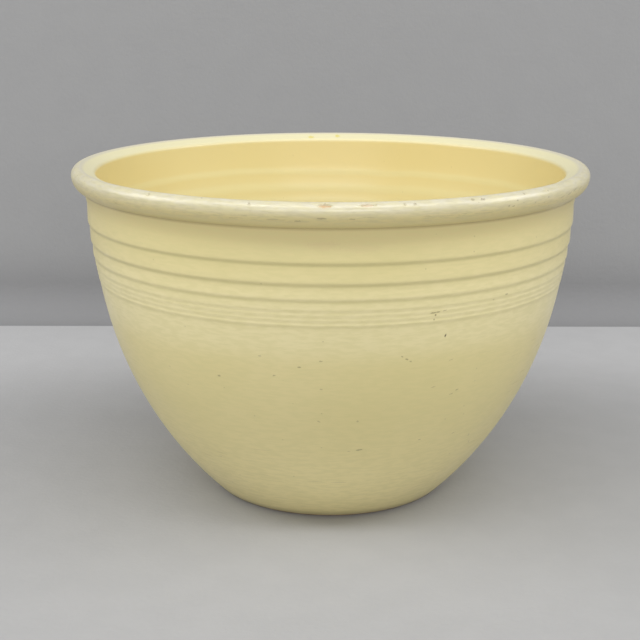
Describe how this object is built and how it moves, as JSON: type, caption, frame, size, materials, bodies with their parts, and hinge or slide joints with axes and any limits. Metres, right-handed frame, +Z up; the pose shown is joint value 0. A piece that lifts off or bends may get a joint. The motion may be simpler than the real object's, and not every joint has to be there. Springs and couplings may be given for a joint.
{
  "type": "mixing bowl",
  "caption": "Deep round mixing bowl in glazed earthenware, with a heavy rolled rim, turned rings below it and a narrow foot ring.",
  "frame": {"origin": "centre of the foot ring, on the plane the bowl stands on", "axes": "+Z up along the bowl's axis of turning; the bowl is round, so +X and +Y are free"},
  "size_m": [0.28, 0.28, 0.182],
  "materials": {
    "bare_clay": "matt unglazed earthenware",
    "outside_glaze": "ivory yellow glaze, satin from wear",
    "inside_glaze": "ivory yellow glaze, semi-gloss"
  },
  "bodies": {
    "root": {"clay_body": "bare_clay", "outer_glaze": "outside_glaze", "inner_glaze": "inside_glaze", "base_glaze": "outside_glaze"}
  },
  "joints": []
}
